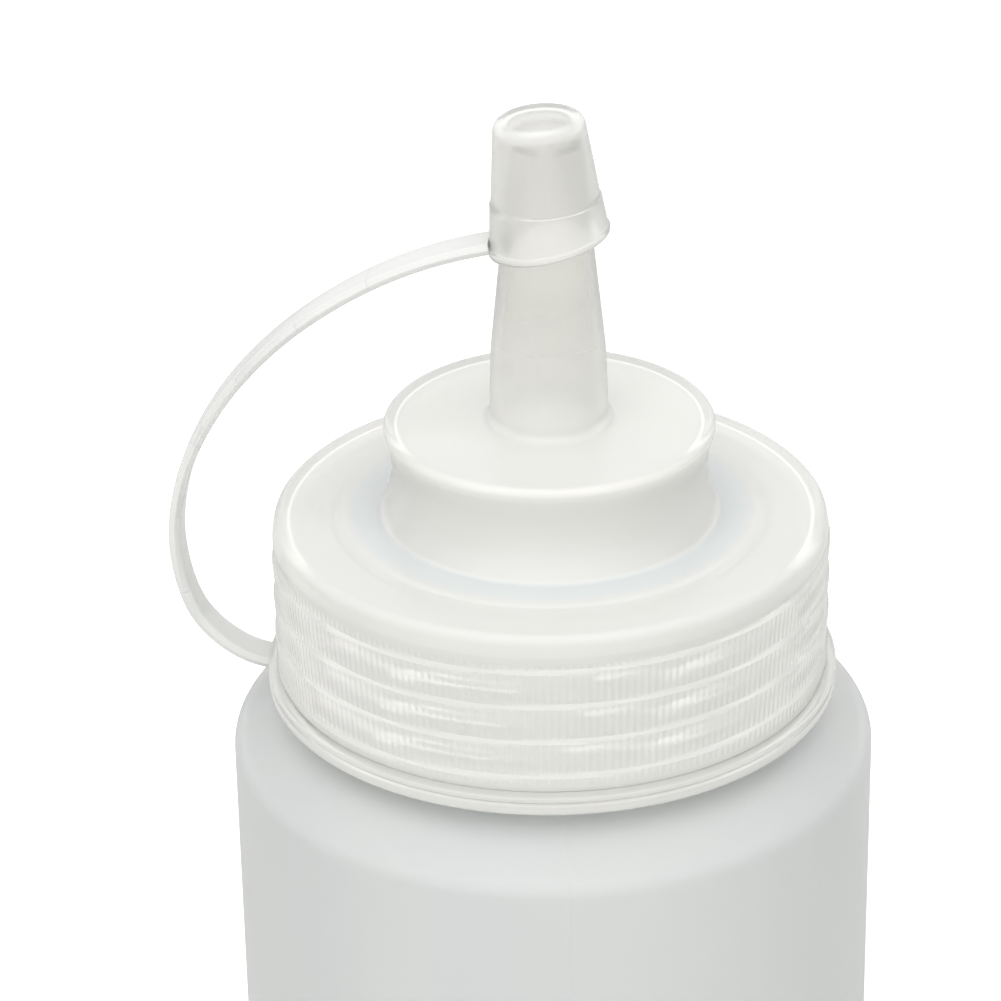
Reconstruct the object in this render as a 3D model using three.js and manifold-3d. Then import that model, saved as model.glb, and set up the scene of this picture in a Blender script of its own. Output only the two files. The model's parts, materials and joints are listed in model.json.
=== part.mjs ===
// A condiment squeeze bottle of the 24 ounce class, moulded in soft natural polyethylene.
// On a bench it comes apart into three pieces: the blow moulded bottle, the screw lid with its nozzle,
// and the tether, which is a ring that snaps on under the lid's skirt, a strap, and a tip cap.
// The strap bends along its whole length, so it is made as short links, with a small gap at each bend.
// Millimetres, +Z up. The origin is the middle of the base, on the surface that the bottle stands on.
// The strap and the tip cap's lean lie in the XZ plane, on the -X side.
import * as THREE from "three";
import { mergeVertices } from "three/addons/utils/BufferGeometryUtils.js";
import Module from "manifold-3d";

const wasm = await Module();
wasm.setup();

// Fits. One clearance is kept wherever two pieces touch on the real product.
const clearance = 0.3;
const snapDepth = 0.7;

// Bottle, from the base up.
const bottleHeight = 174.2;
const bodyRadius = 39.75;
const bodyWall = 1.3;
const heelRadius = 4;
const standWidth = 4.75;
const pushUp = 0.9;
const pushUpSlopeWidth = 1.5;
const shoulderSlope = THREE.MathUtils.degToRad(33.7);
const shoulderFillet = 3;
const neckRadius = 30.3;
const neckWall = 1.7;
const neckFillet = 0.8;
const lipDepth = 3.9;
const lipThickness = 1.8;
const lipFillet = 0.4;
const shoulderGap = 0.9;

// Screw lid, from the deck down the skirt, then from the deck up to the nozzle's tip.
const deckThickness = 1.5;
const deckEdgeFillet = 1.2;
const threadRoom = 1.8;
const skirtWall = 1.8;
const skirtTopDraft = 0.45;
const smoothBandHeight = 2.2;
const ribCount = 240;
const ribDepth = 0.25;
const ribInset = 0.12;
const ribEndMargin = 0.2;
const skirtLength = 20.35;
const plugDepth = 3;
const plugWall = 1;
const plugLedge = 4.4;
const turretHeight = 12.1;
const turretRimInset = 0.4;
const turretWaistInset = 2.1;
const turretWaistHeight = 5.5;
const turretWall = 1.3;
const turretRimFillet = 1.1;
const turretWaistFillet = 8;
const turretFootFillet = 0.8;
const nozzleLength = 36.1;
const nozzleBaseRadius = 8.03;
const nozzleMiddleRadius = 5.53;
const nozzleTipRadius = 3.9;
const nozzleUpperLength = 13.6;
const nozzleWall = 1.1;
const nozzleRootFillet = 0.9;
const nozzleTipFillet = 0.5;
const orificeRadius = 1.7;
const tipLandHeight = 1.3;

// Tether ring, strap and tip cap.
const spigotWall = 1;
const ringLipWall = 1;
const ringHeight = 2.25;
const ringEdgeFillet = 0.35;
const partingGrooveDepth = 0.3;
const partingGrooveDrop = 0.85;
const snapBeadHeight = 0.7;
const snapLandHeight = 1.25;
const strapWidth = 4.7;
const strapThickness = 1.5;
const strapBevel = 0.35;
const strapTurn = THREE.MathUtils.degToRad(165.8);
const strapTurnShares = [0.338, 0.166, 0.127, 0.0935, 0.076, 0.067, 0.062, 0.0705];
const capLean = THREE.MathUtils.degToRad(4.2);
const capHeight = 15.85;
const capTopWall = 1.15;
const capOverlapLength = 13.25;
const capSideShift = 0.28;
const capRimWall = 0.9;
const capRimHeight = 0.85;
const capRimFillet = 0.3;
const capWall = 0.7;
const capPlay = 0.93;
const capStepHeight = 5.5;
const capStepDepth = 0.25;
const capEndPlay = 0.75;
const capTopFillet = 1.3;
const capDishDepth = 0.35;
const strapSeatShare = 0.3;

// Facets.
const bottleFacets = 52;
const capFacets = 36;
const filletStep = THREE.MathUtils.degToRad(30);
const strapArcSteps = 6;
const strapNoseSteps = 6;
const sideLimitShare = 0.49;

// Heights and radii that follow from the sizes above.
const seatHeight = bottleHeight + clearance;
const deckTop = seatHeight + deckThickness;
const mouthRadius = neckRadius - lipDepth;
const plugRadius = mouthRadius - clearance;
const skirtInnerRadius = neckRadius + threadRoom;
const skirtRadius = skirtInnerRadius + skirtWall;
const ribCrestRadius = skirtRadius - ribInset;
const ribRootRadius = ribCrestRadius - ribDepth;
const skirtBottom = deckTop - skirtLength;
const ribTop = deckTop - smoothBandHeight;
const ringTop = skirtBottom - clearance;
const ringBottom = ringTop - ringHeight;
const neckRoot = ringBottom - shoulderGap;
const shoulderEdge = neckRoot - (bodyRadius - neckRadius) * Math.tan(shoulderSlope);
const turretTop = deckTop + turretHeight;
const nozzleTip = turretTop + nozzleLength;
const nozzleMiddle = nozzleTip - nozzleUpperLength;
const turretFootRadius = plugRadius - plugWall - plugLedge;
const turretRimRadius = turretFootRadius - turretRimInset;
const turretWaistRadius = turretFootRadius - turretWaistInset;
const spigotRadius = skirtInnerRadius + spigotWall;
const snapBeadRadius = spigotRadius + snapDepth;
const ringBoreRadius = spigotRadius + clearance;
const ringSnapRadius = snapBeadRadius + clearance;
const ringRadius = ringSnapRadius + ringLipWall;

const colours = {
  bottle: 0xdfe2e0,
  lid: 0xe6e7e2,
  tether: 0xe2e2dd,
};

// A soft waxy plastic surface in one of the three tints of the product.
function softPlastic(colour) {
  return new THREE.MeshStandardMaterial({ color: colour, roughness: 0.42, metalness: 0 });
}

// Turns a closed three.js geometry into a solid for joining and cutting.
function toSolid(geometry) {
  const bare = geometry.index ? geometry.toNonIndexed() : geometry.clone();
  bare.deleteAttribute("normal");
  bare.deleteAttribute("uv");
  const merged = mergeVertices(bare);
  return new wasm.Manifold(
    new wasm.Mesh({
      numProp: 3,
      vertProperties: merged.attributes.position.array,
      triVerts: new Uint32Array(merged.index.array),
    }),
  );
}

// Turns a solid back into a three.js geometry.
function toGeometry(solid) {
  const mesh = solid.getMesh();
  const geometry = new THREE.BufferGeometry();
  geometry.setAttribute("position", new THREE.BufferAttribute(mesh.vertProperties, mesh.numProp));
  geometry.setIndex(new THREE.BufferAttribute(mesh.triVerts, 1));
  geometry.computeVertexNormals();
  return geometry;
}

// The points of an outline whose corners are [radius, height] or [radius, height, fillet].
// A fillet is an arc that touches both sides of its corner, kept shorter than either side.
function filletedOutline(corners) {
  return corners.flatMap(([radius, height, fillet = 0], i) => {
    const corner = new THREE.Vector2(radius, height);
    if (fillet <= 0) return [corner];
    const [previousRadius, previousHeight] = corners.at(i - 1);
    const [nextRadius, nextHeight] = corners[(i + 1) % corners.length];
    const back = new THREE.Vector2(previousRadius, previousHeight).sub(corner);
    const ahead = new THREE.Vector2(nextRadius, nextHeight).sub(corner);
    const longest = Math.min(back.length(), ahead.length()) * sideLimitShare;
    back.normalize();
    ahead.normalize();
    const halfAngle = Math.acos(THREE.MathUtils.clamp(back.dot(ahead), -1, 1)) / 2;
    const reach = Math.min(fillet / Math.tan(halfAngle), longest);
    const centre = back.clone().add(ahead).setLength(reach / Math.cos(halfAngle)).add(corner);
    const from = back.multiplyScalar(reach).add(corner).sub(centre);
    const to = ahead.multiplyScalar(reach).add(corner).sub(centre);
    const sweep = Math.PI - 2 * halfAngle;
    const side = Math.sign(from.cross(to));
    const steps = Math.max(1, Math.ceil(sweep / filletStep));
    return Array.from({ length: steps + 1 }, (_, k) =>
      from
        .clone()
        .rotateAround(new THREE.Vector2(), (side * sweep * k) / steps)
        .add(centre),
    );
  });
}

// Revolves an outline round Z. An outline that leaves the axis is closed on itself.
function revolve(corners, facets) {
  const points = filletedOutline(corners);
  if (THREE.ShapeUtils.isClockWise(points)) points.reverse();
  const onAxis = points.some((point) => point.x === 0);
  if (!onAxis) points.push(points[0].clone());
  while (onAxis && !(points[0].x === 0 && points.at(-1).x === 0)) points.push(points.shift());
  return new THREE.LatheGeometry(points, facets).rotateX(Math.PI / 2);
}

// The bottle: a straight body on a pushed up base, a sloping shoulder and a wide neck.
// The neck's rim turns inwards, where the plug ring of the lid seals against it.
function makeBottle() {
  const standOuter = bodyRadius - heelRadius;
  const standInner = standOuter - standWidth;
  const panelRadius = standInner - pushUpSlopeWidth;
  const innerRadius = bodyRadius - bodyWall;
  const neckInner = neckRadius - neckWall;
  const innerDrop = bodyWall / Math.cos(shoulderSlope);
  const innerEdge = shoulderEdge + bodyWall * Math.tan(shoulderSlope) - innerDrop;
  const innerNeckRoot = innerEdge + (innerRadius - neckInner) * Math.tan(shoulderSlope);
  return revolve(
    [
      [0, pushUp],
      [panelRadius, pushUp],
      [standInner, 0],
      [bodyRadius, 0, heelRadius],
      [bodyRadius, shoulderEdge, shoulderFillet],
      [neckRadius, neckRoot, neckFillet],
      [neckRadius, bottleHeight, lipFillet],
      [mouthRadius, bottleHeight, lipFillet],
      [mouthRadius, bottleHeight - lipThickness],
      [neckInner, bottleHeight - lipThickness],
      [neckInner, innerNeckRoot],
      [innerRadius, innerEdge, shoulderFillet],
      [innerRadius, bodyWall, heelRadius - bodyWall],
      [standInner, bodyWall],
      [panelRadius, pushUp + bodyWall],
      [0, pushUp + bodyWall],
    ],
    bottleFacets,
  );
}

// The screw lid: skirt, deck, hollow turret and tapered nozzle in one moulding.
// Its plug ring fits inside the bottle's rim, and the spigot under its skirt carries the tether ring.
// Fine grip ribs stand all round the skirt, under a smooth band.
function makeScrewLid() {
  const turretInside = turretTop - turretWall;
  const boreEnd = nozzleTip - tipLandHeight;
  const body = revolve(
    [
      [orificeRadius, nozzleTip],
      [nozzleTipRadius, nozzleTip, nozzleTipFillet],
      [nozzleMiddleRadius, nozzleMiddle],
      [nozzleBaseRadius, turretTop, nozzleRootFillet],
      [turretRimRadius, turretTop, turretRimFillet],
      [turretWaistRadius, deckTop + turretWaistHeight, turretWaistFillet],
      [turretFootRadius, deckTop, turretFootFillet],
      [skirtRadius - skirtTopDraft, deckTop, deckEdgeFillet],
      [skirtRadius, ribTop],
      [ribRootRadius - ribDepth, ribTop],
      [ribRootRadius - ribDepth, skirtBottom],
      [spigotRadius, skirtBottom],
      [spigotRadius, ringBottom + snapBeadHeight + clearance],
      [snapBeadRadius, ringBottom + snapBeadHeight],
      [snapBeadRadius, ringBottom],
      [skirtInnerRadius, ringBottom],
      [skirtInnerRadius, seatHeight],
      [plugRadius, seatHeight],
      [plugRadius, seatHeight - plugDepth],
      [plugRadius - plugWall, seatHeight - plugDepth],
      [plugRadius - plugWall, seatHeight],
      [turretFootRadius - turretWall, seatHeight],
      [turretWaistRadius - turretWall, deckTop + turretWaistHeight, turretWaistFillet],
      [turretRimRadius - turretWall, turretInside],
      [nozzleBaseRadius - nozzleWall, turretInside],
      [nozzleMiddleRadius - nozzleWall, nozzleMiddle],
      [nozzleTipRadius - nozzleWall, boreEnd],
      [orificeRadius, boreEnd],
    ],
    bottleFacets,
  );
  return toGeometry(toSolid(body).add(toSolid(makeGripSleeve())));
}

// The grip: a sleeve whose outside is a star of small ribs, which is joined onto the skirt's wall.
function makeGripSleeve() {
  const star = new THREE.Shape(
    Array.from({ length: 2 * ribCount }, (_, k) => {
      const radius = k % 2 ? ribRootRadius : ribCrestRadius;
      return new THREE.Vector2(radius, 0).rotateAround(new THREE.Vector2(), (Math.PI * k) / ribCount);
    }),
  );
  star.holes.push(new THREE.Path().absarc(0, 0, skirtInnerRadius + skirtWall / 2, 0, 2 * Math.PI, true));
  return new THREE.ExtrudeGeometry(star, {
    depth: ribTop - skirtBottom,
    bevelEnabled: false,
    curveSegments: bottleFacets / 2,
  }).translate(0, 0, skirtBottom + ribEndMargin);
}

// The radius of the nozzle's upper cone at a distance below its tip.
function nozzleRadiusBelowTip(distance) {
  return nozzleTipRadius + ((nozzleMiddleRadius - nozzleTipRadius) * distance) / nozzleUpperLength;
}

// The tip cap's bore follows the nozzle with some play, and its rim stands out round its mouth.
const capMouthRadius = nozzleRadiusBelowTip(capOverlapLength) + capPlay;
const capBoreRadius = nozzleRadiusBelowTip(capOverlapLength - capStepHeight) + capPlay;
const capBoreEndRadius = nozzleTipRadius + capEndPlay;
const capRimRadius = capMouthRadius + capRimWall;

// The tip cap's place in the XZ plane: its rim's middle, and its axis, which leans towards the strap.
// In this plane a point is (distance from the bottle's axis on the strap's side, height).
const capRimMiddle = new THREE.Vector2(-capSideShift, nozzleTip - capOverlapLength);
const capAxis = new THREE.Vector2(Math.sin(capLean), Math.cos(capLean));
const capOut = new THREE.Vector2(Math.cos(capLean), -Math.sin(capLean));

// The strap's middle line: arcs of one length, from the ring's wall to the tip cap's rim.
// The chain of arcs is drawn at unit length, then turned and scaled so that its end meets the rim.
function strapArcs() {
  const start = new THREE.Vector2((ringRadius + ringSnapRadius) / 2, ringBottom + strapThickness / 2);
  const end = capOut
    .clone()
    .multiplyScalar((capRimRadius + capMouthRadius) / 2)
    .addScaledVector(capAxis, capRimHeight * strapSeatShare)
    .add(capRimMiddle);
  const span = end.clone().sub(start);
  const unit = new THREE.Vector2();
  let heading = 0;
  const arcs = strapTurnShares.map((share) => {
    const turn = strapTurn * share;
    const arc = { from: unit.clone(), heading, turn };
    const chord = Math.sin(turn / 2) / (turn / 2);
    unit.add(new THREE.Vector2(chord, 0).rotateAround(new THREE.Vector2(), heading + turn / 2));
    heading += turn;
    return arc;
  });
  const scale = span.length() / unit.length();
  const rotation = span.angle() - unit.angle();
  return arcs.map((arc) => ({
    from: arc.from.rotateAround(new THREE.Vector2(), rotation).multiplyScalar(scale).add(start),
    heading: arc.heading + rotation,
    turn: arc.turn,
    length: scale,
  }));
}

// One stretch of strap. An end that meets another stretch is rounded, so that the two can bend
// about the point between them, and an end that grows out of the ring or the cap stays square.
function strapStretch(arc, roundStart, roundEnd) {
  const half = strapThickness / 2;
  const setBack = half + clearance / 2;
  const radius = arc.length / arc.turn;
  const centre = new THREE.Vector2(0, radius)
    .rotateAround(new THREE.Vector2(), arc.heading)
    .add(arc.from);
  const startShare = roundStart ? setBack / arc.length : 0;
  const endShare = 1 - (roundEnd ? setBack / arc.length : 0);
  const at = (share, offset) =>
    new THREE.Vector2(0, -radius - offset)
      .rotateAround(new THREE.Vector2(), arc.heading + arc.turn * share)
      .add(centre);
  const side = (offset, from, to) =>
    Array.from({ length: strapArcSteps + 1 }, (_, k) => at(from + ((to - from) * k) / strapArcSteps, offset));
  const nose = (share, first) => {
    const middle = at(share, 0);
    const spoke = at(share, first).sub(middle);
    return Array.from({ length: strapNoseSteps - 1 }, (_, k) =>
      spoke
        .clone()
        .rotateAround(new THREE.Vector2(), (Math.PI * (k + 1)) / strapNoseSteps)
        .add(middle),
    );
  };
  const outline = [
    ...side(half, startShare, endShare),
    ...(roundEnd ? nose(endShare, half) : []),
    ...side(-half, endShare, startShare),
    ...(roundStart ? nose(startShare, -half) : []),
  ];
  const geometry = new THREE.ExtrudeGeometry(new THREE.Shape(outline), {
    depth: strapWidth - 2 * strapBevel,
    bevelThickness: strapBevel,
    bevelSize: strapBevel,
    bevelOffset: -strapBevel,
    bevelSegments: 1,
  });
  return geometry
    .translate(0, 0, strapBevel - strapWidth / 2)
    .rotateX(Math.PI / 2)
    .rotateZ(Math.PI);
}

// The tether ring: it snaps up over the bead of the lid's spigot and turns freely there.
// A fine groove round its outside is the mould's parting line.
function makeTetherRing(arc) {
  const groove = ringTop - partingGrooveDrop;
  const ring = revolve(
    [
      [ringBoreRadius, ringTop],
      [ringRadius, ringTop, ringEdgeFillet],
      [ringRadius, groove + partingGrooveDepth],
      [ringRadius - partingGrooveDepth, groove],
      [ringRadius, groove - partingGrooveDepth],
      [ringRadius, ringBottom, ringEdgeFillet],
      [ringSnapRadius, ringBottom],
      [ringSnapRadius, ringTop - snapLandHeight],
      [ringBoreRadius, ringTop - snapLandHeight + clearance],
    ],
    bottleFacets,
  );
  return toGeometry(toSolid(ring).add(toSolid(strapStretch(arc, false, true))));
}

// The tip cap: a slim thimble with a bead round its rim and a shallow dish in its top.
// It is turned upright, then leaned and set over the nozzle, with the end of the strap joined on.
function makeTipCap(arc) {
  const boreEnd = capHeight - capTopWall;
  const topRadius = capBoreEndRadius + capWall;
  const bead = capRimHeight + capRimFillet;
  const cap = revolve(
    [
      [0, capHeight - capDishDepth],
      [topRadius - capTopFillet - capWall, capHeight - capDishDepth],
      [topRadius - capTopFillet, capHeight],
      [topRadius, capHeight, capTopFillet],
      [capRimRadius - capRimFillet, bead],
      [capRimRadius, capRimHeight, capRimFillet],
      [capRimRadius, 0, capRimFillet],
      [capMouthRadius, 0],
      [capBoreRadius + capStepDepth, capStepHeight],
      [capBoreRadius, capStepHeight + capStepDepth],
      [capBoreEndRadius, boreEnd],
      [0, boreEnd],
    ],
    capFacets,
  );
  cap.rotateY(-capLean).translate(-capRimMiddle.x, 0, capRimMiddle.y);
  return toGeometry(toSolid(cap).add(toSolid(strapStretch(arc, true, false))));
}

// The links between the ring's and the cap's own stretches of strap.
function makeStrapLinks(arcs) {
  return arcs.map((arc) => toGeometry(toSolid(strapStretch(arc, true, true))));
}

const part = new THREE.Group();

// Adds one named piece with a material of its own.
function addPiece(name, geometry, colour) {
  const piece = new THREE.Mesh(geometry, softPlastic(colour));
  piece.name = name;
  part.add(piece);
}

const arcs = strapArcs();
addPiece("bottle", makeBottle(), colours.bottle);
addPiece("screw_lid", makeScrewLid(), colours.lid);
addPiece("tether_ring", makeTetherRing(arcs[0]), colours.tether);
makeStrapLinks(arcs.slice(1, -1)).forEach((link, i) => {
  addPiece(`tether_strap_${i + 1}`, link, colours.tether);
});
addPiece("tip_cap", makeTipCap(arcs.at(-1)), colours.tether);

export default part;
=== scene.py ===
"""A condiment squeeze bottle in natural polyethylene, dressed over its packed construction.
Metres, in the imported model's frame: +Z up, the base's middle at the origin, the strap on the -X side."""
import json
from math import cos, pi, radians, sin, tan
import bpy
import numpy as np
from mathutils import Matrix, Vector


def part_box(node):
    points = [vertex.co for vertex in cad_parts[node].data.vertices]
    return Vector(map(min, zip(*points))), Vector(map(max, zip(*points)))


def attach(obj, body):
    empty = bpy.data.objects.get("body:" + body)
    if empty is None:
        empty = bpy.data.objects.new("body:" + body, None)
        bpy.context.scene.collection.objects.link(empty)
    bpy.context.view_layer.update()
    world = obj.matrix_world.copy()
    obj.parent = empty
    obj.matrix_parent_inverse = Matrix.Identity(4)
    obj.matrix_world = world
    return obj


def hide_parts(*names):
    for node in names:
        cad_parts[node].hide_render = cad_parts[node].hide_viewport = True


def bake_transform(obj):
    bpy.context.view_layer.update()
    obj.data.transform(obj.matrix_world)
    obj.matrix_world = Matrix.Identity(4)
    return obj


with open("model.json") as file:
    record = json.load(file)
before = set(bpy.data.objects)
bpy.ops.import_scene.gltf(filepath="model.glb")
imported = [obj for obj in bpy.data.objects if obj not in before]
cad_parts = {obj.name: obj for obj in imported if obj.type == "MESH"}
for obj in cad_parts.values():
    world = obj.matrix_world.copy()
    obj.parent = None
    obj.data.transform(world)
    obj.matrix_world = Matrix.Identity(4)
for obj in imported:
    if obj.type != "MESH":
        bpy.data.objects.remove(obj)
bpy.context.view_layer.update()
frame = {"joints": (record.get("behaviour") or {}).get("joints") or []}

# Bottle. One blow moulding in natural low density polyethylene, so it is milky, soft and a little waxy.
# Its neck was calibrated by the blow pin: a right hand thread outside, and a rim turned in for the plug.
# The two mould halves leave a fine seam up both sides, and the base is pushed up inside a standing ring.
MM = 0.001
HAIR = 0.01 * MM  # points that are closer than this are taken as one
CLEARANCE = 0.3 * MM
FRONT = radians(-85)  # the angle round the axis that faces the camera
bottle_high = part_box("bottle")[1]
body_radius = bottle_high.x
bottle_top = bottle_high.z
wall = 1.3 * MM
heel_radius = 4.0 * MM
stand_width = 4.75 * MM
push_up = 0.9 * MM
push_up_slope = 1.5 * MM
stand_fillet = 1 * MM
panel_fillet = 2 * MM
neck_radius = 30.3 * MM
neck_wall = 1.7 * MM
neck_fillet = 0.9 * MM
neck_inner_fillet = 2 * MM
mouth_radius = 26.4 * MM
lip_thickness = 1.8 * MM
lip_fillet = 0.5 * MM
lip_inner_fillets = (0.3 * MM, 0.6 * MM)
shoulder_slope = radians(33.7)
shoulder_fillet = 3.0 * MM
ring_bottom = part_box("tether_ring")[0].z
neck_root = ring_bottom - 0.9 * MM
thread_pitch = 4.65 * MM
thread_turns = 3.1
thread_root_half = 1.05 * MM
thread_crest_half = 0.45 * MM
thread_fades = 20
neck_thread_height = 1.3 * MM
neck_thread_start = bottle_top - 16.4 * MM
neck_row = 0.22 * MM
seam_angle = FRONT + radians(2.5)
seam_height = 0.07 * MM
seam_half_width = 0.16 * MM
seam_inner_radius = 29.1 * MM
seam_columns = 9
seam_reach = 2.2  # half widths from a seam's middle to its last column of points
bottle_columns = 256
SHARP = radians(38)  # where a surface turns by more than this, the edge is drawn crisp


def outline(corners, arc_step=radians(9), shortest=HAIR):
    """The points of an outline with rounded corners, each (radius, height) or (radius, height, fillet).
    A fillet is the arc that touches both sides: its centre lies on the bisector, at fillet / sin(half
    the corner's angle) from the corner, and it touches each side at fillet / tan(half the angle), or
    at 0.49 of the side where that is less. It gets a step for each arc_step that it turns, but none
    shorter than shortest, and at least two."""
    points = []
    for i, corner in enumerate(corners):
        here = np.array(corner[:2])
        if len(corner) < 3:
            points.append(here)
            continue
        back = np.array(corners[i - 1][:2]) - here
        ahead = np.array(corners[(i + 1) % len(corners)][:2]) - here
        back_length, ahead_length = np.hypot(*back), np.hypot(*ahead)
        back, ahead = back / back_length, ahead / ahead_length
        half = np.arccos(np.clip(back @ ahead, -1, 1)) / 2
        reach = min(corner[2] / tan(half), 0.49 * min(back_length, ahead_length))
        bisector = (back + ahead) / np.hypot(*(back + ahead))
        centre = here + bisector * reach / cos(half)
        spoke = here + back * reach - centre
        end = here + ahead * reach - centre
        side = np.sign(spoke[0] * end[1] - spoke[1] * end[0])
        turned = pi - 2 * half
        length = turned * np.hypot(*spoke)
        steps = max(2, int(np.ceil(min(turned / arc_step, length / shortest))))
        turn = side * turned * np.linspace(0, 1, steps + 1)[:, None]
        across = np.array([-spoke[1], spoke[0]])
        points.extend(centre + spoke * np.cos(turn) + across * np.sin(turn))
    return np.array(points)


def filled(points, longest, low, high, closed=False):
    """The same outline with extra points, where a side between the heights low and high is longer than
    longest: a side of length L gets L / longest equal steps, rounded up."""
    ahead = np.roll(points, -1, axis=0) if closed else points[1:]
    rows = []
    for a, b in zip(points, ahead):
        inside = low <= min(a[1], b[1]) and max(a[1], b[1]) <= high
        steps = max(1, int(np.ceil(np.hypot(*(b - a)) / longest))) if inside else 1
        rows.extend(a + (b - a) * np.linspace(0, 1, steps, endpoint=False)[:, None])
    return np.array(rows if closed else rows + [points[-1]])


def thread(angle, height, start):
    """The share, from 0 to 1, of a right hand thread's full height at each angle and height.
    A turn climbs one pitch. The distance d from the nearest turn's middle line gives
    (root half - |d|) / (root half - crest half), and each end fades out over 1 / thread_fades of a turn."""
    turns = (height - start) / thread_pitch - angle / (2 * pi)
    nearest = np.round(turns)
    distance = np.abs(turns - nearest) * thread_pitch
    along = nearest + angle / (2 * pi)
    flank = np.clip((thread_root_half - distance) / (thread_root_half - thread_crest_half), 0, 1)
    fade_in = np.clip(along * thread_fades, 0, 1)
    fade_out = np.clip((thread_turns - along) * thread_fades, 0, 1)
    return flank * (fade_in * fade_out)


def mesh_object(name, points, faces, sharp=SHARP):
    """A mesh from an array of points and a list of faces, smooth but for edges sharper than sharp."""
    mesh = bpy.data.meshes.new(name)
    mesh.from_pydata(points, [], faces)
    mesh.validate()
    mesh.shade_smooth()
    mesh.set_sharp_from_angle(angle=sharp)
    piece = bpy.data.objects.new(name, mesh)
    bpy.context.scene.collection.objects.link(piece)
    return piece


def grids(points, angles):
    """An outline's radius and height as grids: a row for each of its points, a column for each angle."""
    return (column[:, None] + 0 * angles for column in points.T)


def revolved(name, radius, height, angles, closed=False, place=None, sharp=SHARP):
    """A surface of revolution from grids of radius and height: (r cos a, r sin a, h). An open outline
    ends on the axis, where a row of no radius becomes one point with a fan of triangles. The function
    place, if one is given, then moves the points."""
    rows, columns = radius.shape
    points = np.stack([radius * np.cos(angles), radius * np.sin(angles), height], -1).reshape(-1, 3)
    index = np.arange(rows * columns).reshape(rows, columns)
    if not closed:
        index[0], index[-1] = index[0, 0], index[-1, 0]
    a = index if closed else index[:-1]
    b = np.roll(index, -1, axis=0) if closed else index[1:]
    quads = np.stack([a, np.roll(a, -1, axis=1), np.roll(b, -1, axis=1), b], -1).reshape(-1, 4)
    faces = [[v for i, v in enumerate(quad) if v != quad[i - 1]] for quad in quads.tolist()]
    used = np.unique(index)
    renumber = np.zeros(rows * columns, int)
    renumber[used] = np.arange(len(used))
    faces = [renumber[face].tolist() for face in faces]
    points = points[used] if place is None else place(points[used])
    return mesh_object(name, points, faces, sharp)


def add_node(tree, kind, inputs=(), **settings):
    """One shader node with its settings, its input values and its links. inputs maps a socket's name
    or number to a value, or to another node's output, which is then linked. A colour Mix node's A and B
    are its sockets 6 and 7."""
    node = tree.nodes.new(kind)
    for name, value in settings.items():
        setattr(node, name, value)
    for socket, value in dict(inputs).items():
        if isinstance(value, bpy.types.NodeSocket):
            tree.links.new(value, node.inputs[socket])
        else:
            node.inputs[socket].default_value = value
    return node


def linear(code):
    """An sRGB hex colour as linear red, green, blue and alpha, by the sRGB standard's own curve."""
    channels = [int(code[i:i + 2], 16) / 255 for i in (1, 3, 5)]
    return [c / 12.92 if c <= 0.04045 else ((c + 0.055) / 1.055) ** 2.4 for c in channels] + [1.0]


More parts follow.
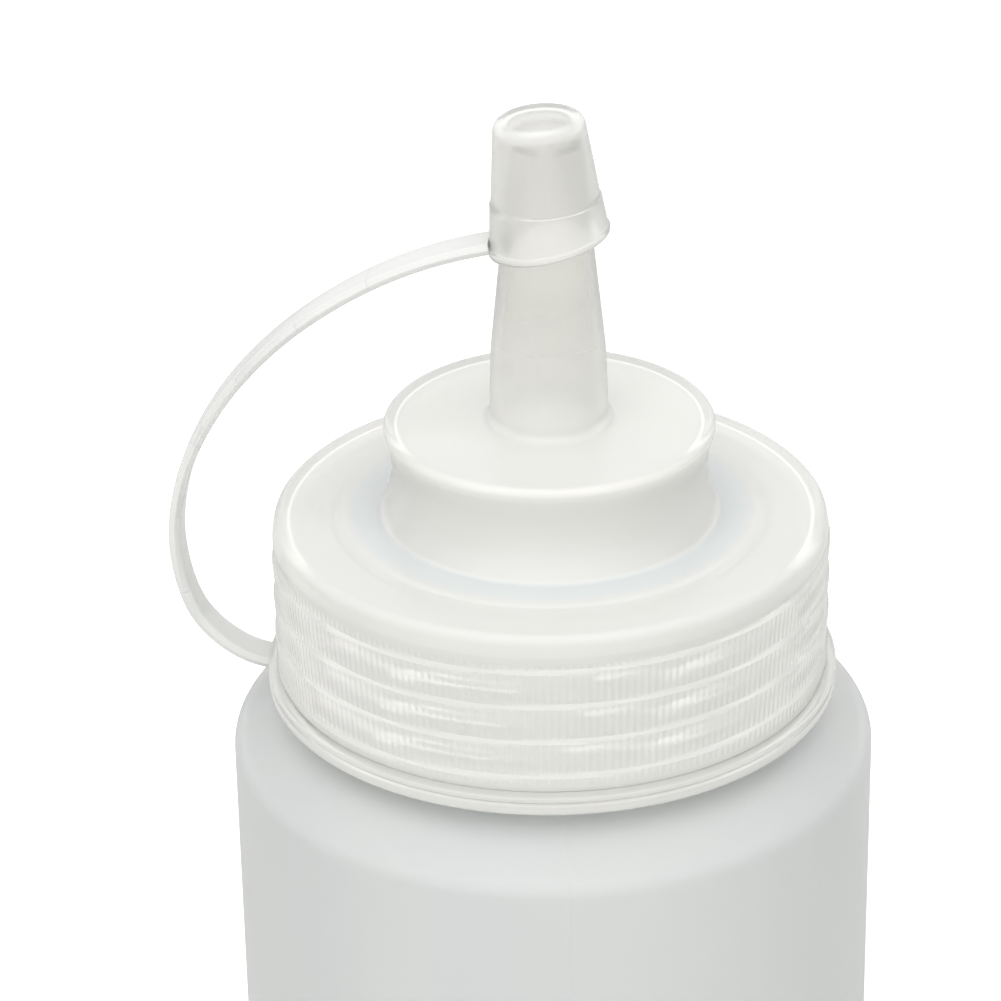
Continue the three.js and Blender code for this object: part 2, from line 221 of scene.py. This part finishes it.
def polyethylene(name, tints, roughness, clear, levels, grain_mm, grain_depth_mm, streak, shade_over_mouth=None):
    """Natural polyethylene. Cloudy patches shift the colour between two tints, a fine grain dulls and
    dimples the surface, and a streak under 1 stretches both along Z, as the melt flowed. The share of
    light that goes straight through a wall climbs from clear[0] to clear[1] between two levels, where
    the walls grow thinner. Light that is already inside the plastic always goes straight out again.
    shade_over_mouth is (radius, low, high, tint): round the axis, out to that radius and between those
    heights, the wall stands over the bottle's open mouth, and that tint is mixed in there as a painted
    cool shade, for the darker inside behind the wall."""
    patches_per_metre = 70  # one for each 14 mm
    gloss_spread = 0.03
    shade_edge = 1.6 * MM
    made = bpy.data.materials.new(name)
    made.use_nodes = True
    tree = made.node_tree
    tree.nodes.clear()
    place = add_node(tree, "ShaderNodeTexCoord").outputs["Object"]
    flow = add_node(tree, "ShaderNodeMapping", {"Vector": place, "Scale": (1, 1, streak)}).outputs[0]
    cloud = add_node(
        tree, "ShaderNodeTexNoise", {"Vector": flow, "Scale": patches_per_metre, "Detail": 3}
    ).outputs[0]
    tint = add_node(
        tree,
        "ShaderNodeMix",
        {"Factor": cloud, 6: linear(tints[0]), 7: linear(tints[1])},
        data_type="RGBA",
    ).outputs[2]
    level = add_node(tree, "ShaderNodeSeparateXYZ", {"Vector": place}).outputs["Z"]
    # A painted cool shade: where the deck stands over the bottle's open mouth, its tint is mixed towards a
    # cooler one.
    if shade_over_mouth:
        radius, low, high, shade_tint = shade_over_mouth
        flat = add_node(tree, "ShaderNodeMapping", {"Vector": place, "Scale": (1, 1, 0)}).outputs[0]
        reach = add_node(tree, "ShaderNodeVectorMath", {0: flat}, operation="LENGTH").outputs["Value"]
        near = add_node(
            tree,
            "ShaderNodeMapRange",
            {"Value": reach, "From Min": radius - shade_edge, "From Max": radius, "To Min": 1, "To Max": 0},
        ).outputs[0]
        between = add_node(
            tree,
            "ShaderNodeMath",
            {0: level, 1: (high + low) / 2, 2: (high - low) / 2},
            operation="COMPARE",
        ).outputs[0]
        over = add_node(tree, "ShaderNodeMath", {0: near, 1: between}, operation="MULTIPLY").outputs[0]
        tint = add_node(
            tree, "ShaderNodeMix", {"Factor": over, 6: tint, 7: linear(shade_tint)}, data_type="RGBA"
        ).outputs[2]
    grain = add_node(
        tree,
        "ShaderNodeTexNoise",
        {"Vector": flow, "Scale": 1 / (grain_mm * MM), "Detail": 2},
    ).outputs[0]
    bump = add_node(
        tree, "ShaderNodeBump", {"Height": grain, "Strength": 1, "Distance": grain_depth_mm * MM}
    ).outputs[0]
    gloss = add_node(
        tree,
        "ShaderNodeMapRange",
        {"Value": grain, "To Min": roughness - gloss_spread, "To Max": roughness + gloss_spread},
    ).outputs[0]
    going_in = add_node(
        tree,
        "ShaderNodeMapRange",
        {
            "Value": level,
            "From Min": levels[0],
            "From Max": levels[1],
            "To Min": clear[0],
            "To Max": clear[1],
        },
    ).outputs[0]
    going_out = add_node(tree, "ShaderNodeNewGeometry").outputs["Backfacing"]
    through = add_node(
        tree, "ShaderNodeMapRange", {"Value": going_out, "To Min": going_in, "To Max": 1}
    ).outputs[0]
    shader = add_node(
        tree,
        "ShaderNodeBsdfPrincipled",
        {
            "Base Color": tint,
            "Roughness": gloss,
            "IOR": 1.51,
            "Transmission Weight": through,
            "Normal": bump,
        },
    )
    add_node(tree, "ShaderNodeOutputMaterial", {"Surface": shader.outputs[0]})
    return made


# Blow moulded low density polyethylene. The skin copies the mould's fine blast, so it looks satin, and
# the wall is thick enough for an even cool haze.
bottle_plastic = polyethylene(
    "blow_moulded_polyethylene",
    ("#e2e5e6", "#e9eae7"),
    roughness=0.34,
    clear=(0.5, 0.5),
    levels=(0, bottle_top),
    grain_mm=0.9,
    grain_depth_mm=0.012,
    streak=0.25,
)

shoulder_edge = neck_root - (body_radius - neck_radius) * tan(shoulder_slope)
inner_radius = body_radius - wall
neck_inner = neck_radius - neck_wall
inner_edge = shoulder_edge + wall * tan(shoulder_slope) - wall / cos(shoulder_slope)
inner_root = inner_edge + (inner_radius - neck_inner) * tan(shoulder_slope)
stand_outer = body_radius - heel_radius
stand_inner = stand_outer - stand_width
panel_radius = stand_inner - push_up_slope
bottle_outline = filled(
    outline(
        [
            (0, push_up),
            (panel_radius, push_up, panel_fillet),
            (stand_inner, 0, stand_fillet),
            (body_radius, 0, heel_radius),
            (body_radius, shoulder_edge, shoulder_fillet),
            (neck_radius, neck_root, neck_fillet),
            (neck_radius, bottle_top, lip_fillet),
            (mouth_radius, bottle_top, lip_fillet),
            (mouth_radius, bottle_top - lip_thickness, lip_inner_fillets[0]),
            (neck_inner, bottle_top - lip_thickness, lip_inner_fillets[1]),
            (neck_inner, inner_root, neck_inner_fillet),
            (inner_radius, inner_edge, shoulder_fillet),
            (inner_radius, wall, heel_radius - wall),
            (stand_inner, wall, stand_fillet),
            (panel_radius, push_up + wall, panel_fillet),
            (0, push_up + wall),
        ]
    ),
    neck_row,
    neck_root,
    bottle_top,
)
seam_angles = np.outer([seam_angle, seam_angle + pi], np.ones(seam_columns))
seam_angles = seam_angles + np.linspace(-1, 1, seam_columns) * seam_reach * seam_half_width / body_radius
even_angles = np.linspace(0, 2 * pi, bottle_columns, endpoint=False)
bottle_angles = np.sort(np.concatenate([even_angles, np.mod(seam_angles.ravel(), 2 * pi)]))
radius, height = grids(bottle_outline, bottle_angles)
neck_side = (np.abs(radius - neck_radius) < HAIR) & (height > neck_root)
neck_thread = thread(bottle_angles, height, neck_thread_start)
radius = radius + neck_side * neck_thread_height * neck_thread
seam_distance = (np.mod(bottle_angles - seam_angle + pi / 2, pi) - pi / 2) * body_radius
# The seams run up the outside only, which is the outline as far as its highest point.
before_the_top = np.arange(len(bottle_outline)) < np.argmax(bottle_outline[:, 1])
outside = (bottle_outline[:, 0] > seam_inner_radius) & before_the_top
radius = radius + outside[:, None] * seam_height * np.exp(-((seam_distance / seam_half_width) ** 2))
bottle = revolved("bottle_shell", radius, height, bottle_angles)
bottle.data.materials.append(bottle_plastic)
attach(bottle, "bottle")
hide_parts("bottle")

# Screw lid. One injection moulding in the same plastic: skirt, deck, hollow turret and tapered nozzle.
# Its skirt has 240 fine ribs, and sinks in a helix outside where the thick thread is moulded inside.
# A plug ring under the deck seals in the bottle's rim, and a beaded spigot carries the tether ring.
nozzle_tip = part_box("screw_lid")[1].z
seat = bottle_top + CLEARANCE
deck = seat + 1.5 * MM
deck_edge = 0.4 * MM
deck_fillet = 1.4 * MM
turret_top = deck + 12.1 * MM
turret_waist = deck + 5.5 * MM
turret_rim_radius = 20.3 * MM
turret_waist_radius = 18.6 * MM
turret_foot_radius = 20.7 * MM
turret_fillet = 0.9 * MM
waist_fillet = 10 * MM
cavity_rim_radius = 19.0 * MM
cavity_waist_radius = 17.3 * MM
cavity_foot_radius = 19.4 * MM
skirt_inner = 32.1 * MM
skirt_radius = 33.9 * MM
skirt_bottom = deck - 20.35 * MM
skirt_slack = 0.3 * MM  # the skirt's outside is the part of the outline within this of its radius
spigot_radius = 33.1 * MM
snap_radius = 33.8 * MM
snap_height = 0.7 * MM
snap_slope = 0.3 * MM
plug_radius = mouth_radius - CLEARANCE
plug_wall = 1.0 * MM
plug_depth = 3.0 * MM
rib_count = 240
rib_depth = 0.1 * MM
rib_edge = radians(24)  # the ribs' sides turn by little more, and are drawn crisp
rib_top = deck - 2.3 * MM
rib_run_in = 0.8 * MM
sink_depth = 0.3 * MM
sink_front = deck - 4.5 * MM
sink_shelf_share = 0.1
lid_thread_height = 1.45 * MM
lid_thread_start = neck_thread_start - 1.85 * MM
lid_thread_top = seat - 1 * MM
skirt_row = 0.33 * MM  # the longest step down the skirt, and the next one the longest inside it
inner_row = 0.8 * MM
nozzle_foot_radius = 7.2 * MM
nozzle_low_radius = 6.95 * MM
nozzle_low = turret_top + 8.8 * MM
nozzle_middle_radius = 5.53 * MM
nozzle_middle = turret_top + 22.5 * MM
nozzle_low_fillet = 20 * MM
nozzle_middle_fillet = 60 * MM
nozzle_tip_radius = 3.9 * MM
nozzle_milky_to = turret_top + 2 * MM
nozzle_clear_from = turret_top + 17 * MM
nozzle_wall = 1.1 * MM
nozzle_top_wall = 1.3 * MM
orifice_radius = 1.7 * MM
shade_margin = 0.2 * MM

# Injection moulded low density polyethylene. It has a polished mould's soft gloss and a warmer, milkier
# white. The nozzle's wall is thin, so it goes clear and grey. Over the bottle's mouth the deck gets a
# painted cool shade, for the darker inside behind it.
lid_plastic = polyethylene(
    "injection_moulded_polyethylene",
    ("#f7f7f3", "#faf9f6"),
    roughness=0.22,
    clear=(0.45, 0.92),
    levels=(nozzle_milky_to, nozzle_clear_from),
    grain_mm=1.6,
    grain_depth_mm=0.004,
    streak=0.5,
    # A painted cool shade on the deck, over the bottle's open mouth.
    shade_over_mouth=(plug_radius - plug_wall, seat - shade_margin, deck + shade_margin, "#f0f4f4"),
)
lid_corners = [
    (orifice_radius, nozzle_tip, 0.2 * MM),
    (nozzle_tip_radius, nozzle_tip, 0.6 * MM),
    (nozzle_middle_radius, nozzle_middle, nozzle_middle_fillet),
    (nozzle_low_radius, nozzle_low, nozzle_low_fillet),
    (nozzle_foot_radius, turret_top, 1.3 * MM),
    (turret_rim_radius, turret_top, turret_fillet),
    (turret_waist_radius, turret_waist, waist_fillet),
    (turret_foot_radius, deck, turret_fillet),
    (skirt_radius - deck_edge, deck, deck_fillet),
    (skirt_radius, rib_top),
    (skirt_radius, skirt_bottom, 0.25 * MM),
    (spigot_radius, skirt_bottom, 0.15 * MM),
    (spigot_radius, ring_bottom + snap_height + snap_slope, 0.2 * MM),
    (snap_radius, ring_bottom + snap_height, 0.2 * MM),
    (snap_radius, ring_bottom, 0.3 * MM),
    (skirt_inner, ring_bottom, 0.3 * MM),
    (skirt_inner, seat, 0.8 * MM),
    (plug_radius, seat, 0.3 * MM),
    (plug_radius, seat - plug_depth, 0.35 * MM),
    (plug_radius - plug_wall, seat - plug_depth, 0.35 * MM),
    (plug_radius - plug_wall, seat, 0.4 * MM),
    (cavity_foot_radius, seat, 0.5 * MM),
    (cavity_waist_radius, turret_waist, waist_fillet),
    (cavity_rim_radius, turret_top - nozzle_top_wall, 0.8 * MM),
    (nozzle_foot_radius - nozzle_wall, turret_top - nozzle_top_wall, 0.6 * MM),
    (nozzle_low_radius - nozzle_wall, nozzle_low, nozzle_low_fillet),
    (nozzle_middle_radius - nozzle_wall, nozzle_middle, nozzle_middle_fillet),
    (nozzle_tip_radius - nozzle_wall, nozzle_tip - nozzle_top_wall, 0.3 * MM),
    (orifice_radius, nozzle_tip - nozzle_top_wall, 0.2 * MM),
]
lid_outline = outline(lid_corners, radians(22.5), 0.25 * MM)
lid_outline = filled(lid_outline, skirt_row, skirt_bottom, rib_top, closed=True)
lid_outline = filled(lid_outline, inner_row, ring_bottom, seat, closed=True)
lid_angles = np.linspace(0, 2 * pi, 2 * rib_count, endpoint=False)
radius, height = grids(lid_outline, lid_angles)
skirt_outside = (radius > skirt_radius - skirt_slack) & (height > skirt_bottom) & (height <= rib_top)
# Down the skirt each sink eases inwards over most of a pitch, and a short shelf brings it out again.
sink = np.mod((sink_front - height) / thread_pitch + (lid_angles - FRONT) / (2 * pi), 1)
easing = 0.5 - sink / (1 - sink_shelf_share)
shelf = (sink - 1) / sink_shelf_share + 0.5
sink_shape = np.where(sink < 1 - sink_shelf_share, easing, shelf)
run_in_above = np.clip((rib_top - height) / rib_run_in, 0, 1)
run_in_below = np.clip((height - skirt_bottom) / rib_run_in, 0, 1)
run_in = run_in_above * run_in_below
ribs = np.where(np.arange(2 * rib_count) % 2 == 0, 0.5, -0.5)
radius = radius + skirt_outside * run_in * (rib_depth * ribs + sink_depth * sink_shape)
skirt_inside = (np.abs(radius - skirt_inner) < HAIR) & (height < lid_thread_top)
lid_thread = thread(lid_angles, height, lid_thread_start)
radius = radius - skirt_inside * lid_thread_height * lid_thread
lid = revolved(
    "screw_lid_moulding", radius[::-1], height[::-1], lid_angles, closed=True, sharp=rib_edge
)
lid.data.materials.append(lid_plastic)
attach(lid, "screw_lid")
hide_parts("screw_lid")

# Tether ring. A thin band that snaps up over the spigot's bead and turns freely under the skirt.
# A fine groove round its outside is the mould's parting line, and the strap grows out of its wall.
ring_gap = 0.12 * MM
ring_top = skirt_bottom - ring_gap
ring_radius = 35.1 * MM
ring_lip_height = 0.95 * MM
ring_columns = 360
groove = ring_top - 0.85 * MM
groove_depth = 0.28 * MM

# Injection moulded low density polyethylene, as the lid's, in thinner walls: a little greyer, and clearer
# in the cap, so that the nozzle shows through it.
tether_plastic = polyethylene(
    "injection_moulded_polyethylene_tether",
    ("#f1f1ee", "#f6f5f2"),
    roughness=0.2,
    clear=(0.5, 0.6),
    levels=(ring_top, ring_top + 8 * MM),
    grain_mm=1.2,
    grain_depth_mm=0.004,
    streak=1,
)
ring_corners = [
    (spigot_radius + CLEARANCE, ring_top, 0.15 * MM),
    (ring_radius, ring_top, 0.4 * MM),
    (ring_radius, groove + groove_depth, 0.1 * MM),
    (ring_radius - groove_depth, groove, 0.08 * MM),
    (ring_radius, groove - groove_depth, 0.1 * MM),
    (ring_radius, ring_bottom, 0.5 * MM),
    (snap_radius + CLEARANCE, ring_bottom, 0.2 * MM),
    (snap_radius + CLEARANCE, ring_top - ring_lip_height - snap_slope, 0.15 * MM),
    (spigot_radius + CLEARANCE, ring_top - ring_lip_height, 0.15 * MM),
]
ring_outline = outline(ring_corners, radians(15))
ring_angles = np.linspace(0, 2 * pi, ring_columns, endpoint=False)
radius, height = grids(ring_outline, ring_angles)
ring = revolved("tether_ring_band", radius[::-1], height[::-1], ring_angles, closed=True)
ring.data.materials.append(tether_plastic)
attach(ring, "tether_ring")
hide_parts("tether_ring")

# Strap. The flexible arm of the same moulding, 4.9 mm wide and 1.5 mm thick, with bevelled edges that
# meet at the mould's parting line. It bends along its whole length, so it is made as one length for
# each bend, from the middle of one stiff link to the middle of the next.
strap_width = 4.9 * MM
strap_thickness = 1.5 * MM
strap_bevel = 0.45 * MM
strap_edge_fillet = 0.25 * MM
strap_face_fillet = 0.3 * MM
strap_steps = 14
strap_seam_gap = 0.01 * MM
strap_start_heading = radians(3.2)
strap_end_heading = radians(169)
bends = [joint for joint in frame["joints"] if joint["type"] == "hinge" and joint["axis"] == [0, 1, 0]]
bend_points = np.array([[-bend["pos_m"][0], bend["pos_m"][2]] for bend in bends])
strap_root = np.array([ring_radius - 0.5 * MM, ring_bottom + 0.75 * MM])
strap_end = np.array([6.72 * MM, deck + 34.6 * MM])
link_length = np.hypot(*np.diff(bend_points, axis=0).T).mean()

# The same plastic again. The strap hangs free with only air behind it and gets less light than the cap
# and the ring, so its tints are a painted shade, greyer than theirs. It is drawn milkier than they are,
# which hides the joins between its lengths.
strap_plastic = polyethylene(
    "injection_moulded_polyethylene_strap",
    # Painted shade: greyer tints for the light that the free strap lacks.
    ("#d6d8d6", "#dededb"),
    roughness=0.2,
    clear=(0.25, 0.25),
    levels=(ring_bottom, nozzle_tip),
    grain_mm=1.2,
    grain_depth_mm=0.003,
    streak=1,
)


def strap_middle(share):
    """The strap's middle line in the XZ plane, as (distance from the axis, height), and its heading.
    It is the smooth cubic through the root, the bends and the cap: in each stretch the point is
    p0 (1 + 2s)(1 - s)^2 + p1 s^2 (3 - 2s) + m0 s (1 - s)^2 + m1 s^2 (s - 1), with tangents m that
    are half the step from the point before to the point after."""
    knots = np.vstack([strap_root, bend_points, strap_end])
    slopes = np.empty_like(knots)
    slopes[1:-1] = (knots[2:] - knots[:-2]) / 2
    slopes[0] = np.array([cos(strap_start_heading), sin(strap_start_heading)]) * link_length
    slopes[-1] = np.array([cos(strap_end_heading), sin(strap_end_heading)]) * link_length
    i = np.clip(share.astype(int), 0, len(knots) - 2)
    s = (share - i)[:, None]
    p0, p1, m0, m1 = knots[i], knots[i + 1], slopes[i], slopes[i + 1]
    point = p0 * (1 + 2 * s) * (1 - s) ** 2 + p1 * s**2 * (3 - 2 * s)
    point = point + m0 * s * (1 - s) ** 2 + m1 * s**2 * (s - 1)
    slope = (p0 - p1) * (6 * s**2 - 6 * s) + m0 * (1 - 4 * s + 3 * s**2) + m1 * (3 * s**2 - 2 * s)
    return point, slope / np.hypot(*slope.T)[:, None]


def strap_length(name, first, last):
    """A stretch of strap: its six sided section, with rounded edges, carried along the middle line.
    A section point (across, up) lands at middle + up * normal, with across along Y."""
    half_w, half_t = strap_width / 2, strap_thickness / 2
    section = outline(
        [
            (half_w, 0, strap_edge_fillet),
            (half_w - strap_bevel, half_t, strap_face_fillet),
            (-half_w + strap_bevel, half_t, strap_face_fillet),
            (-half_w, 0, strap_edge_fillet),
            (-half_w + strap_bevel, -half_t, strap_face_fillet),
            (half_w - strap_bevel, -half_t, strap_face_fillet),
        ],
        radians(15),
    )
    middle, heading = strap_middle(np.linspace(first, last, strap_steps + 1))
    normal = np.stack([-heading[:, 1], heading[:, 0]], -1)
    flat = middle[:, None] + section[None, :, 1:] * normal[:, None]
    across = np.broadcast_to(section[:, 0], flat.shape[:2])
    points = np.stack([-flat[..., 0], across, flat[..., 1]], -1).reshape(-1, 3)
    sides = len(section)
    index = np.arange(len(points)).reshape(-1, sides)
    a, b = index[:-1], index[1:]
    quads = np.stack([a, np.roll(a, -1, axis=1), np.roll(b, -1, axis=1), b], -1).reshape(-1, 4)
    faces = quads[:, ::-1].tolist() + [index[0].tolist(), index[-1][::-1].tolist()]
    piece = mesh_object(name, points, faces)
    piece.data.materials.append(strap_plastic)
    return piece


seam_share = strap_seam_gap / link_length
for i, bend in enumerate(bends):
    first = 0 if i == 0 else i + 0.5 + seam_share
    last = len(bends) + 1 if i == len(bends) - 1 else i + 1.5 - seam_share
    strap = strap_length(f"tether_strap_length_{i + 1}", first, last)
    ends, _ = strap_middle(np.array([i + 0.5, i + 1.5]))
    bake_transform(strap)
    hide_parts(bend["child"])

# Tip cap. The thimble at the strap's end, pushed down over the nozzle and leaning a little to the strap.
# It has a bead round its rim, a step inside where its bore tightens, a fine ledge outside the step, and
# a shallow dish in its top.
cap_lean = radians(4.2)
cap_height = 15.85 * MM
cap_overlap = 13.25 * MM
cap_shift = 0.28 * MM
cap_mouth = 6.42 * MM
cap_rim = 7.32 * MM
cap_rim_height = 0.85 * MM
cap_rim_fillet = 0.3 * MM
cap_rim_flare = 0.2 * MM
cap_bore = 5.76 * MM
cap_bore_end = 4.65 * MM
cap_wall = 0.7 * MM
cap_step = 5.5 * MM
cap_step_width = 0.25 * MM
cap_top_wall = 1.15 * MM
cap_dish = 0.25 * MM
cap_rim_skew = 0.14
cap_ledge = 0.13 * MM
cap_ledge_inset = 0.02 * MM
cap_ledge_above = 0.05 * MM
cap_ledge_below = 0.1 * MM
cap_dish_edge = 3.6 * MM
cap_row = 0.6 * MM
cap_columns = 160
cap_top = cap_bore_end + cap_wall
# The outer radius at the step's height, on the straight line from the top's edge to the rim's.
wall_spread = cap_rim - cap_rim_fillet - cap_top
wall_share = (cap_height - cap_step) / (cap_height - cap_rim_height - cap_rim_fillet)
cap_skirt = cap_top + wall_spread * wall_share
cap_corners = [
    (0, cap_height - cap_dish),
    (cap_top - cap_dish_edge, cap_height - cap_dish, 3 * MM),
    (cap_top, cap_height, 1.4 * MM),
    (cap_skirt - cap_ledge_inset, cap_step + cap_ledge_above),
    (cap_skirt + cap_ledge, cap_step - cap_ledge_below),
    (cap_rim - cap_rim_flare, cap_rim_height + cap_rim_flare, cap_rim_flare),
    (cap_rim, cap_rim_height, cap_rim_fillet),
    (cap_rim, 0, cap_rim_fillet),
    (cap_mouth, 0, 0.25 * MM),
    (cap_bore + cap_step_width, cap_step, 0.1 * MM),
    (cap_bore, cap_step + cap_step_width, 0.15 * MM),
    (cap_bore_end, cap_height - cap_top_wall, 1.6 * MM),
    (0, cap_height - cap_top_wall),
]


def on_nozzle(points):
    """Sets an upright cap over the nozzle. The strap draws its rim down on the -X side: a point
    below the step rises by skew * x * (1 - z / step height). Then the cap leans about Y by the lean
    angle, and moves so that its rim's middle is at the shift from the axis and the overlap below
    the nozzle's tip."""
    x, y, z = points.T
    z = z + cap_rim_skew * x * np.clip(1 - z / cap_step, 0, 1)
    leaned_x = x * cos(cap_lean) - z * sin(cap_lean)
    leaned_z = x * sin(cap_lean) + z * cos(cap_lean)
    return np.stack([leaned_x, y, leaned_z], -1) + [cap_shift, 0, nozzle_tip - cap_overlap]


cap_outline = filled(outline(cap_corners, radians(12)), cap_row, 0, cap_height)
cap_angles = np.linspace(0, 2 * pi, cap_columns, endpoint=False)
radius, height = grids(cap_outline, cap_angles)
cap = revolved("tip_cap_thimble", radius[::-1], height[::-1], cap_angles, place=on_nozzle)
cap.data.materials.append(tether_plastic)
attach(cap, "tip_cap")
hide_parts("tip_cap")

# Floor. A plain pale studio table, painted matt. It takes the bottle's soft shadow, and a glow that only
# the camera sees brings it up to white.
floor_reach = 3.0
floor_glow = 0.55
table = mesh_object(
    "studio_table",
    [(x * floor_reach, y * floor_reach, 0) for x, y in ((-1, -1), (1, -1), (1, 1), (-1, 1))],
    [[0, 1, 2, 3]],
)
table_paint = bpy.data.materials.new("white_painted_table")
table_paint.use_nodes = True
tree = table_paint.node_tree
tree.nodes.clear()
seen = add_node(tree, "ShaderNodeLightPath").outputs["Is Camera Ray"]
matt = add_node(tree, "ShaderNodeBsdfDiffuse", {"Color": linear("#dcdcda")})
glow = add_node(tree, "ShaderNodeEmission", {"Color": linear("#ffffff"), "Strength": floor_glow})
lit = add_node(tree, "ShaderNodeAddShader", {0: matt.outputs[0], 1: glow.outputs[0]})
surface = add_node(tree, "ShaderNodeMixShader", {0: seen, 1: matt.outputs[0], 2: lit.outputs[0]})
add_node(tree, "ShaderNodeOutputMaterial", {"Surface": surface.outputs[0]})
table.data.materials.append(table_paint)

# Light. A white cyclorama all round gives an even fill, and is seen white behind the bottle. Three soft
# boxes, above, in front and behind, shape the bottle, the one in front the strongest. They aren't
# mirrored in the plastic or seen through it, so that it shows only the white all round.
fill_strength = 0.78
neck_middle = np.array([0, 0, 0.15])

world = bpy.data.worlds.new("white_cyclorama")
bpy.context.scene.world = world
world.use_nodes = True
tree = world.node_tree
tree.nodes.clear()
# 1 where the camera sees the cyclorama, also in a reflection or through the plastic, and else 0.
path = add_node(tree, "ShaderNodeLightPath").outputs
mirrored = add_node(
    tree, "ShaderNodeMath", {0: path["Is Camera Ray"], 1: path["Is Glossy Ray"]}, operation="MAXIMUM"
).outputs[0]
seen = add_node(
    tree, "ShaderNodeMath", {0: mirrored, 1: path["Is Transmission Ray"]}, operation="MAXIMUM"
).outputs[0]
fill = add_node(tree, "ShaderNodeBackground", {"Color": linear("#ffffff"), "Strength": fill_strength})
white = add_node(tree, "ShaderNodeBackground", {"Color": linear("#ffffff"), "Strength": 1.0})
sky = add_node(tree, "ShaderNodeMixShader", {0: seen, 1: fill.outputs[0], 2: white.outputs[0]})
add_node(tree, "ShaderNodeOutputWorld", {"Surface": sky.outputs[0]})


def soft_box(name, place, size, power):
    """A square area lamp at place, of that size in metres and power in watts, facing the neck."""
    lamp = bpy.data.lights.new(name, "AREA")
    lamp.size = size
    lamp.energy = power
    box = bpy.data.objects.new(name, lamp)
    box.location = place
    box.visible_glossy = False
    box.visible_transmission = False
    aim = neck_middle - place
    box.rotation_euler = Vector(aim).to_track_quat("-Z", "Y").to_euler()
    bpy.context.scene.collection.objects.link(box)


soft_box("soft_box_above", place=(0, -0.3, 1.2), size=1.2, power=8)
soft_box("soft_box_front", place=(-0.1, -1.2, 0.6), size=2.2, power=11)
soft_box("soft_box_behind", place=(0.1, 1.2, 0.6), size=2.2, power=4)

# Camera. It stands at the photograph's angle: 27 degrees above the deck, 507 mm from it, on the side
# that puts the strap on the left. Yaw and roll are the small turns that the photograph's frame shows.
# They and the elevation are in radians.
camera_distance = 507.1 * MM
camera_elevation = 0.4733
camera_turn = radians(5)
camera_yaw = -0.0119
camera_roll = -0.0117
sensor_mm = 36
focal_length_mm = 149.93
aim_height = deck + 0.7014 * MM
rise, level = sin(camera_elevation), cos(camera_elevation)
ahead = np.array([0, level, -rise])
side = np.array([1.0, 0, 0])
upward = np.array([0, rise, level])
stand = np.array([0, 0, aim_height]) - ahead * camera_distance
ahead, side = (
    cos(camera_yaw) * ahead + sin(camera_yaw) * side,
    cos(camera_yaw) * side - sin(camera_yaw) * ahead,
)
side, upward = (
    cos(camera_roll) * side + sin(camera_roll) * upward,
    cos(camera_roll) * upward - sin(camera_roll) * side,
)
turned = np.array(
    [[cos(camera_turn), -sin(camera_turn), 0], [sin(camera_turn), cos(camera_turn), 0], [0, 0, 1]]
)
pose = np.eye(4)
pose[:3, :3] = turned @ np.stack([side, upward, -ahead], 1)
pose[:3, 3] = turned @ stand
lens = bpy.data.cameras.new("camera")
lens.sensor_width = sensor_mm
lens.lens = focal_length_mm
camera = bpy.data.objects.new("camera", lens)
camera.matrix_world = Matrix(pose.tolist())
bpy.context.scene.collection.objects.link(camera)
bpy.context.scene.camera = camera
bpy.context.scene.view_settings.view_transform = "Standard"
